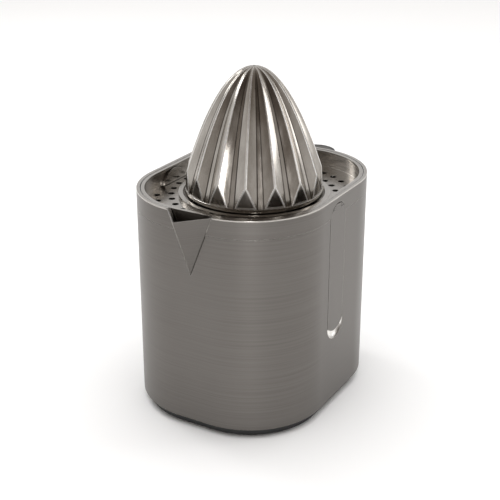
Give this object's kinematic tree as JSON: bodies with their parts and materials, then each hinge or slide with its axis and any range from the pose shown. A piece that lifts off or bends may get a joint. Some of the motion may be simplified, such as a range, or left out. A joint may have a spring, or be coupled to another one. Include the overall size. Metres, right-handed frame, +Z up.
{
  "type": "citrus juicer",
  "caption": "Electric citrus press: brushed steel housing, lift-out juice bowl with folded V spout, strainer tray and a ribbed reamer that runs when pressed.",
  "frame": {"origin": "on the table under the middle of the housing, level with the rubber feet", "axes": "+Z up along the drive shaft, -Y towards the pouring spout, +X across the flat sides"},
  "size_m": [0.11, 0.1696, 0.191],
  "materials": {
    "brushed_steel": "brushed",
    "satin_steel": "satin",
    "bright_steel": "polished",
    "black_plastic": "matte",
    "white_plastic": "matte",
    "rubber": "matte",
    "bronze": "satin",
    "copper": "satin"
  },
  "bodies": {
    "base": {"base_plate": "black_plastic", "rubber_feet": "rubber", "base_screws": "bright_steel", "housing_shell": "brushed_steel", "cord_inlet": "black_plastic", "deck": "black_plastic", "gearbox_plate": "bright_steel", "gearbox_cover": "white_plastic", "gearbox_screws": "bright_steel", "idler_pin": "bright_steel", "lower_bushing": "bronze", "upper_bushing": "bronze", "shaft_seal": "rubber", "motor_can": "bright_steel", "motor_end_cap": "black_plastic", "motor_coil": "copper", "motor_screws": "bright_steel", "switch_body": "black_plastic"},
    "press": {"spring_cup": "bronze", "press_spring": "bright_steel"},
    "plunger": {"switch_plunger": "white_plastic"},
    "drive": {"drive_shaft": "bright_steel", "output_gear": "white_plastic", "shaft_clip": "bright_steel"},
    "idler": {"idler_gear": "white_plastic"},
    "rotor": {"rotor_magnet": "black_plastic", "rotor_shaft": "bright_steel", "motor_pinion": "bronze"},
    "bowl": {"bowl_body": "satin_steel", "bowl_band": "brushed_steel", "pour_spout": "brushed_steel", "rear_handle_tab": "brushed_steel", "rear_handle_grip": "black_plastic", "handle_rivets": "bright_steel", "hinge_brackets": "bright_steel", "hinge_pins": "bright_steel"},
    "left_handle": {"left_side_handle": "brushed_steel"},
    "right_handle": {"right_side_handle": "brushed_steel"},
    "strainer": {"strainer_tray": "satin_steel"},
    "reamer": {"reamer_cone": "satin_steel", "reamer_hub": "black_plastic"}
  },
  "joints": [
    {"name": "press_down", "type": "slide", "parent": "base", "child": "press", "axis": [0, 0, -1], "range_m": [0, 0.002], "stiffness_N_per_m": 2500, "springref_m": -0.003, "deforming": ["press_spring"]},
    {"name": "plunger_down", "type": "slide", "parent": "base", "child": "plunger", "axis": [0, 0, -1], "range_m": [0, 0.002]},
    {"name": "drive_spin", "type": "hinge", "parent": "press", "child": "drive", "pos_m": [0, 0, 0.05], "axis": [0, 0, 1], "continuous": true},
    {"name": "idler_spin", "type": "hinge", "parent": "base", "child": "idler", "pos_m": [0, 0.027, 0.045], "axis": [0, 0, 1], "continuous": true},
    {"name": "rotor_spin", "type": "hinge", "parent": "base", "child": "rotor", "pos_m": [0.01776, 0.02054, 0.02], "axis": [0, 0, 1], "continuous": true},
    {"name": "bowl_lift", "type": "slide", "parent": "base", "child": "bowl", "axis": [0, 0, 1], "range_m": [0, 0.09]},
    {"name": "strainer_lift", "type": "slide", "parent": "bowl", "child": "strainer", "axis": [0, 0, 1], "range_m": [0, 0.045]},
    {"name": "reamer_lift", "type": "slide", "parent": "drive", "child": "reamer", "axis": [0, 0, 1], "range_m": [0, 0.2]},
    {"name": "left_handle_swing", "type": "hinge", "parent": "bowl", "child": "left_handle", "pos_m": [-0.0539, -0.0046, 0.1224], "axis": [0, 1, 0], "range_deg": [0, 85]},
    {"name": "right_handle_swing", "type": "hinge", "parent": "bowl", "child": "right_handle", "pos_m": [0.0539, -0.0046, 0.1224], "axis": [0, -1, 0], "range_deg": [0, 85]}
  ],
  "couplings": [
    {"joint": "plunger_down", "follows": "press_down", "ratio": 1},
    {"joint": "idler_spin", "follows": "drive_spin", "ratio": -3.5},
    {"joint": "rotor_spin", "follows": "drive_spin", "ratio": 12.25},
    {"joint": "strainer_lift", "follows": "bowl_lift", "ratio": 0.5},
    {"joint": "reamer_lift", "follows": "bowl_lift", "ratio": 2.2}
  ]
}
